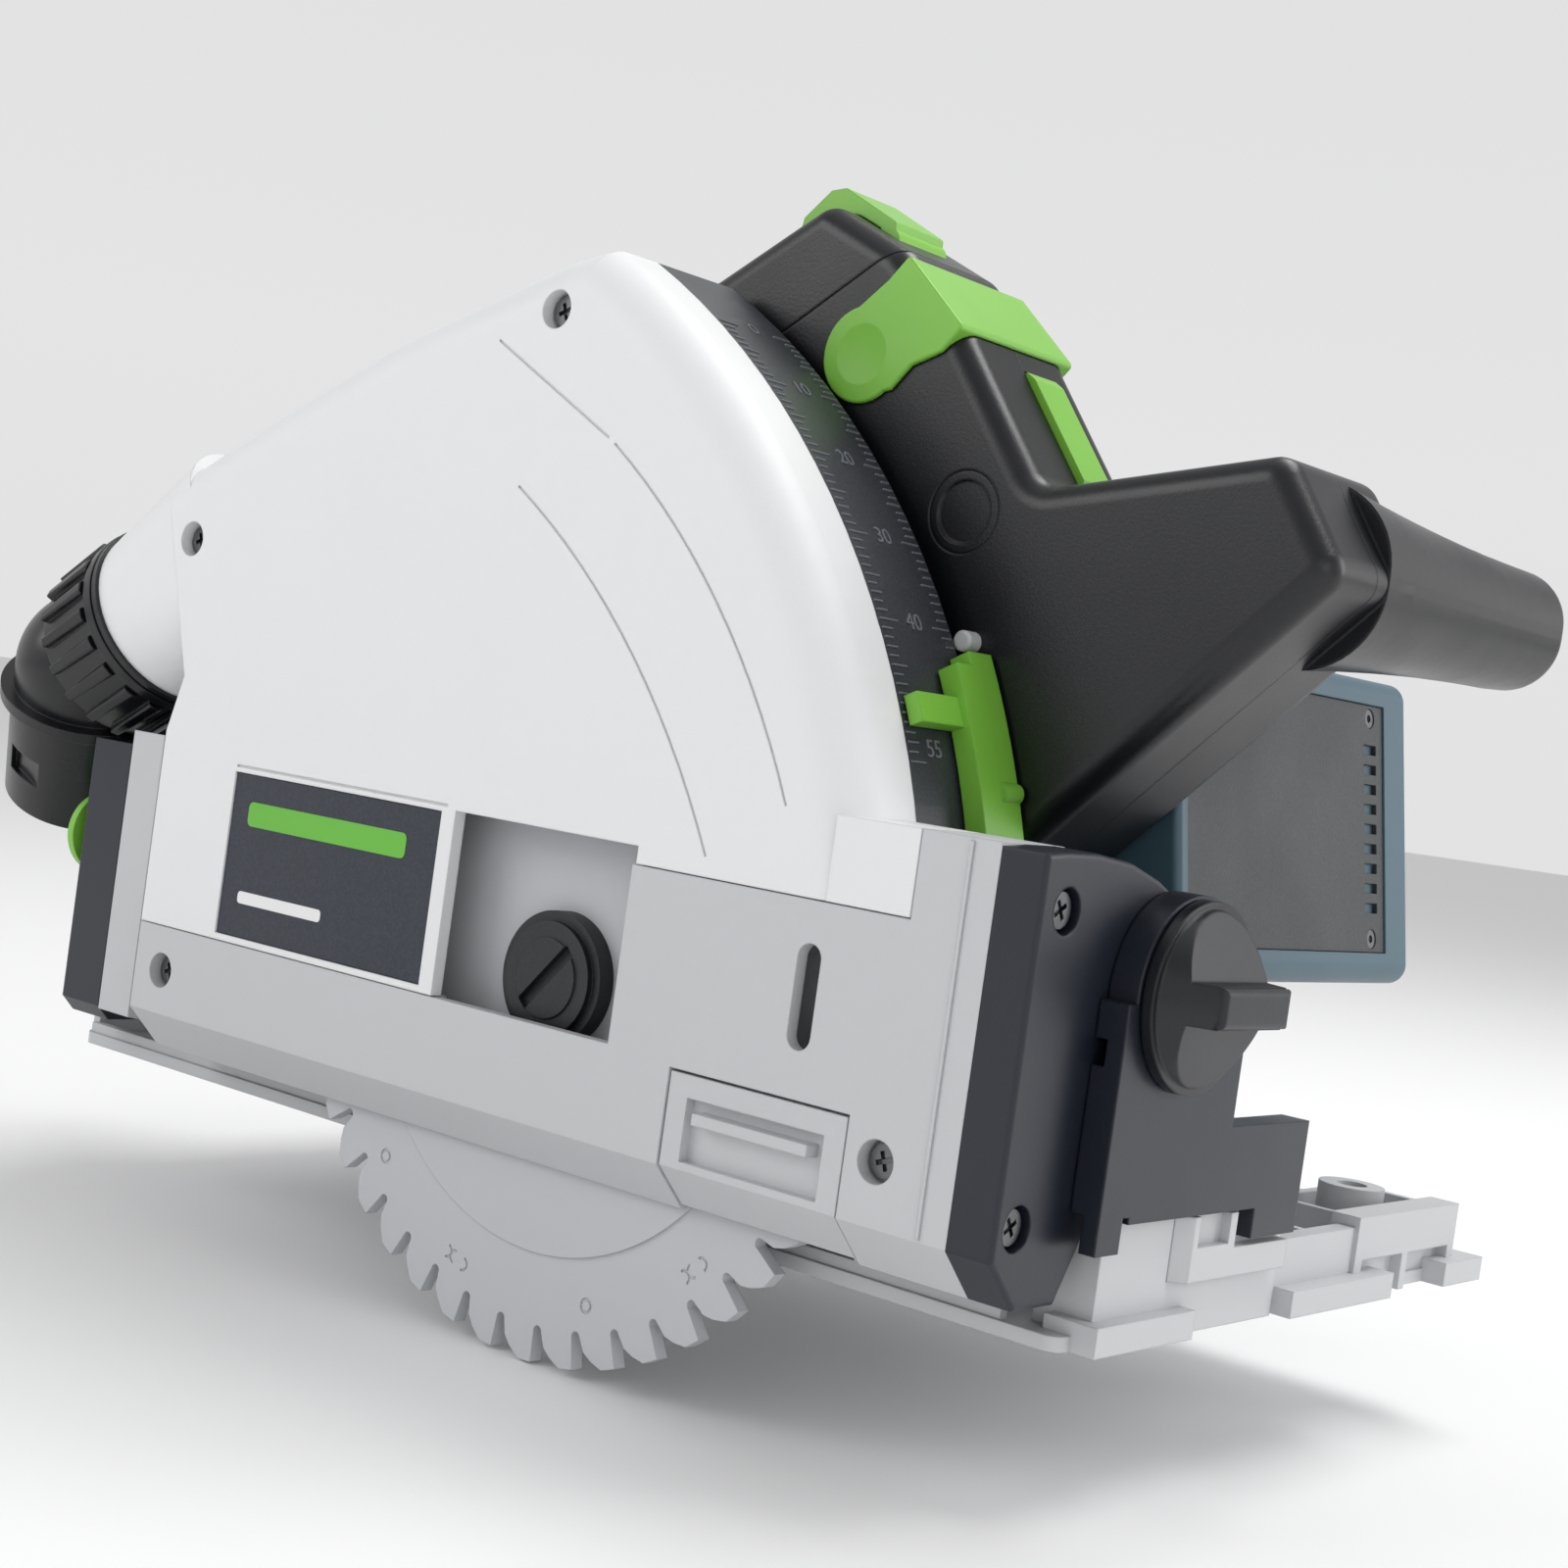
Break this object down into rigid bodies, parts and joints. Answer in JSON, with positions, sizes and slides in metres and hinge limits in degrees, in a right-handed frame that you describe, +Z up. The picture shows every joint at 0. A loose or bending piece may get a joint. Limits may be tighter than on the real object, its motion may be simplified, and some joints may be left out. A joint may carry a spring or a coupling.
{
  "type": "plunge track saw",
  "caption": "Toy plunge track saw: fan-shaped blade guard with depth scale, tilting base brackets, loop handle, cross grip, battery block and elbow dust outlet.",
  "frame": {"origin": "on the flat sole of the base plate, directly below the blade axis in the plunged pose", "axes": "+X is the cutting direction, +Y points from the blade cover towards the motor and battery, +Z is up; the saw stands on its base plate"},
  "size_m": [0.3144, 0.1727, 0.2201],
  "materials": {
    "white_plastic": "fine spark-eroded grain",
    "light_grey_plastic": "fine grain",
    "navy_plastic": "grained",
    "black_plastic": "satin with a low sheen",
    "dark_plastic": "leather grain",
    "lime_plastic": "satin",
    "battery_blue_grey": "satin",
    "steel": "zinc plated",
    "brass_gear": "plain",
    "gear_plastic": "moulded acetal",
    "copper_rotor": "varnished windings",
    "magnet_grey": "sintered",
    "board_green": "solder mask",
    "cell_jacket": "shrink sleeve"
  },
  "bodies": {
    "base": {"base_plate": "light_grey_plastic", "front_clip": "light_grey_plastic", "front_bracket": "navy_plastic", "rear_bracket": "navy_plastic"},
    "housing": {"blade_cover": "white_plastic", "label_plate": "navy_plastic", "lower_housing": "light_grey_plastic", "column_ridge": "light_grey_plastic", "depth_band": "dark_plastic", "pivot_pin": "steel", "cover_screws": "steel", "front_cover": "navy_plastic", "front_cover_screws": "steel", "rear_column": "light_grey_plastic", "rear_cover": "navy_plastic", "dust_ring": "light_grey_plastic"},
    "unit": {"left_handle_shell": "black_plastic", "right_handle_shell": "black_plastic", "top_cap": "black_plastic", "lever_pin": "steel", "spindle_bushes": "brass_gear", "round_plug": "dark_plastic", "plunge_peg": "light_grey_plastic", "trigger_pin": "steel", "switch_body": "dark_plastic", "motor_can": "steel", "motor_magnets": "magnet_grey", "motor_housing": "black_plastic", "motor_end_cap": "black_plastic", "control_board": "board_green"},
    "blade_group": {"blade": "light_grey_plastic", "arbor_knob": "dark_plastic", "spindle": "steel", "output_gear": "gear_plastic"},
    "rotor": {"motor_pinion": "brass_gear", "motor_shaft": "steel", "motor_rotor": "copper_rotor"},
    "depth_stop": {"depth_stop": "lime_plastic"},
    "front_knob": {"front_knob": "black_plastic", "front_knob_stud": "steel"},
    "rear_knob": {"rear_knob": "black_plastic"},
    "dust_port": {"dust_collar": "black_plastic", "dust_elbow": "black_plastic"},
    "undercut_button": {"undercut_button": "lime_plastic"},
    "splinter_guard": {"splinter_guard": "light_grey_plastic"},
    "trigger": {"trigger": "lime_plastic"},
    "lock_slide": {"lock_slide": "lime_plastic"},
    "top_lever": {"top_lever": "lime_plastic"},
    "battery": {"battery_case": "battery_blue_grey", "battery_plate": "dark_plastic", "battery_screws": "steel", "battery_cells": "cell_jacket"},
    "battery_button": {"battery_button": "dark_plastic"}
  },
  "joints": [
    {"name": "bevel", "type": "hinge", "parent": "base", "child": "housing", "pos_m": [0, -0.026, 0], "axis": [1, 0, 0], "range_deg": [0, 45]},
    {"name": "plunge", "type": "hinge", "parent": "housing", "child": "unit", "pos_m": [-0.082, 0, 0.0335], "axis": [0, -1, 0], "range_deg": [0, 31]},
    {"name": "blade_spin", "type": "hinge", "parent": "unit", "child": "blade_group", "pos_m": [0, 0, 0.0405], "axis": [0, 1, 0], "continuous": true},
    {"name": "rotor_spin", "type": "hinge", "parent": "unit", "child": "rotor", "pos_m": [0.015, 0, 0.06648], "axis": [0, 1, 0], "continuous": true},
    {"name": "depth_stop_slide", "type": "hinge", "parent": "housing", "child": "depth_stop", "pos_m": [-0.082, 0, 0.0335], "axis": [0, 1, 0], "range_deg": [0, 3]},
    {"name": "front_knob_turn", "type": "hinge", "parent": "base", "child": "front_knob", "pos_m": [0.11, -0.002, 0.057], "axis": [1, 0, 0], "range_deg": [0, 180]},
    {"name": "rear_knob_turn", "type": "hinge", "parent": "base", "child": "rear_knob", "pos_m": [-0.15, 0.02, 0.03], "axis": [1, 0, 0], "range_deg": [0, 180]},
    {"name": "dust_port_swivel", "type": "hinge", "parent": "housing", "child": "dust_port", "pos_m": [-0.138, -0.02, 0.0955], "axis": [-0.8746, 0, -0.4848], "range_deg": [-90, 90]},
    {"name": "undercut_button_press", "type": "slide", "parent": "housing", "child": "undercut_button", "axis": [1, 0, 0], "range_m": [0, 0.002], "stiffness_N_per_m": 300, "springref_m": -0.001},
    {"name": "splinter_guard_slide", "type": "slide", "parent": "housing", "child": "splinter_guard", "axis": [0, 0, -1], "range_m": [0, 0.004]},
    {"name": "trigger_pull", "type": "hinge", "parent": "unit", "child": "trigger", "pos_m": [0.04693, 0.023, 0.15518], "axis": [0, 1, 0], "range_deg": [0, 4], "stiffness_Nm_per_rad": 0.05, "springref_deg": -2.86},
    {"name": "lock_slide_push", "type": "slide", "parent": "unit", "child": "lock_slide", "axis": [-0.739, 0, 0.6737], "range_m": [0, 0.002], "stiffness_N_per_m": 200, "springref_m": -0.001},
    {"name": "top_lever_lift", "type": "hinge", "parent": "unit", "child": "top_lever", "pos_m": [0.0168, 0.0185, 0.1816], "axis": [0, 1, 0], "range_deg": [0, 48]},
    {"name": "battery_slide", "type": "slide", "parent": "unit", "child": "battery", "axis": [0, 1, 0], "range_m": [0, 0.03]},
    {"name": "battery_button_press", "type": "slide", "parent": "battery", "child": "battery_button", "axis": [0, -1, 0], "range_m": [0, 0.001], "stiffness_N_per_m": 300, "springref_m": -0.001}
  ],
  "couplings": [
    {"joint": "rotor_spin", "follows": "blade_spin", "ratio": -4}
  ]
}
